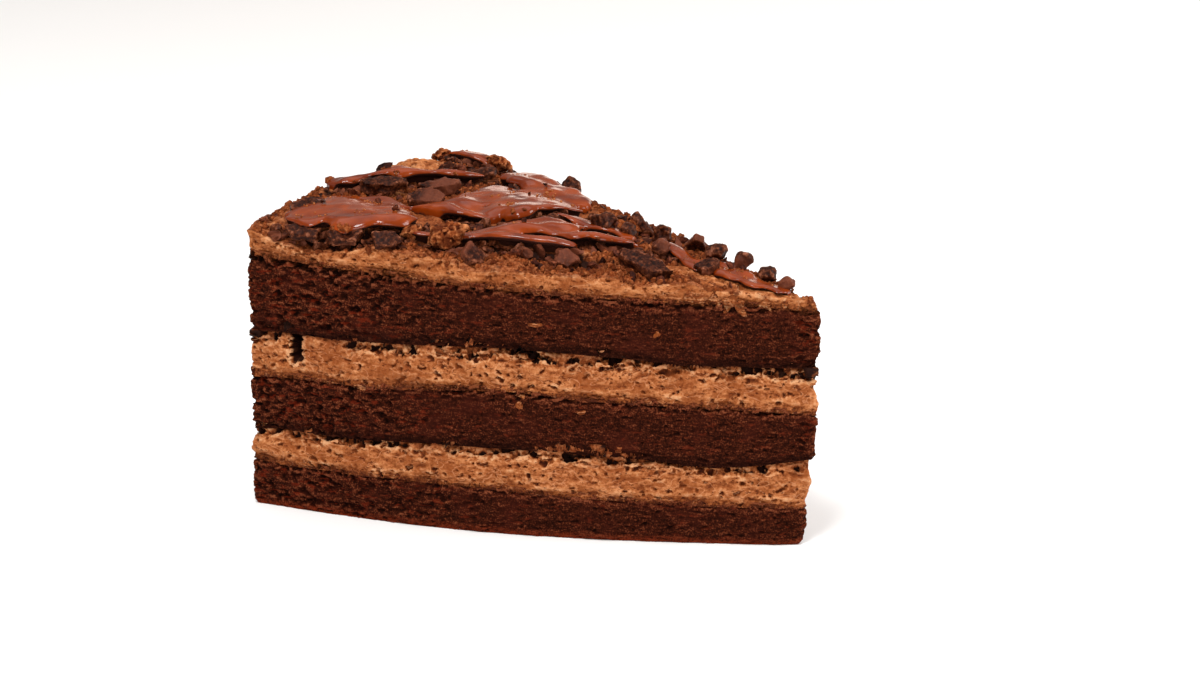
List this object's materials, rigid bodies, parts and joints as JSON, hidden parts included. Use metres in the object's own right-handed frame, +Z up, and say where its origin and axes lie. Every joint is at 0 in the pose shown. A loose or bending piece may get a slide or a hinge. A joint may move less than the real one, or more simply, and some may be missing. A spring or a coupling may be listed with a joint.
{
  "type": "double chocolate cake slice",
  "caption": "Wedge of round layer cake: cocoa sponges with whipped chocolate mousse between and on top, strewn with broken chocolate and poured with ganache.",
  "frame": {"origin": "under the middle of the slice's box, on the surface that it stands on", "axes": "+X from the rim of the cake towards the point of the wedge, +Z up, -Y towards the cut face that bows out"},
  "size_m": [0.1194, 0.08, 0.065],
  "materials": {
    "sponge": "matt open crumb",
    "mousse": "soft satin, full of fine air holes",
    "chocolate": "satin, broken edges",
    "cake_crumb": "matt crumb"
  },
  "bodies": {
    "root": {"sponge_bottom": "sponge", "mousse_lower": "mousse", "sponge_middle": "sponge", "mousse_upper": "mousse", "sponge_top": "sponge", "mousse_top": "mousse", "chocolate_shard_01": "chocolate", "chocolate_shard_02": "chocolate", "chocolate_shard_03": "chocolate", "chocolate_shard_04": "chocolate", "chocolate_shard_05": "chocolate", "chocolate_shard_06": "chocolate", "chocolate_shard_07": "chocolate", "chocolate_shard_08": "chocolate", "chocolate_shard_09": "chocolate", "chocolate_shard_10": "chocolate", "chocolate_shard_11": "chocolate", "chocolate_shard_12": "chocolate", "chocolate_shard_13": "chocolate", "chocolate_shard_14": "chocolate", "chocolate_shard_15": "chocolate", "chocolate_nugget_01": "chocolate", "chocolate_nugget_02": "chocolate", "chocolate_nugget_03": "chocolate", "chocolate_nugget_04": "chocolate", "chocolate_nugget_05": "chocolate", "chocolate_nugget_06": "chocolate", "chocolate_nugget_07": "chocolate", "chocolate_nugget_08": "chocolate", "chocolate_nugget_09": "chocolate", "cake_lump_01": "cake_crumb", "cake_lump_02": "cake_crumb", "cake_lump_03": "cake_crumb", "cake_lump_04": "cake_crumb"}
  },
  "joints": []
}
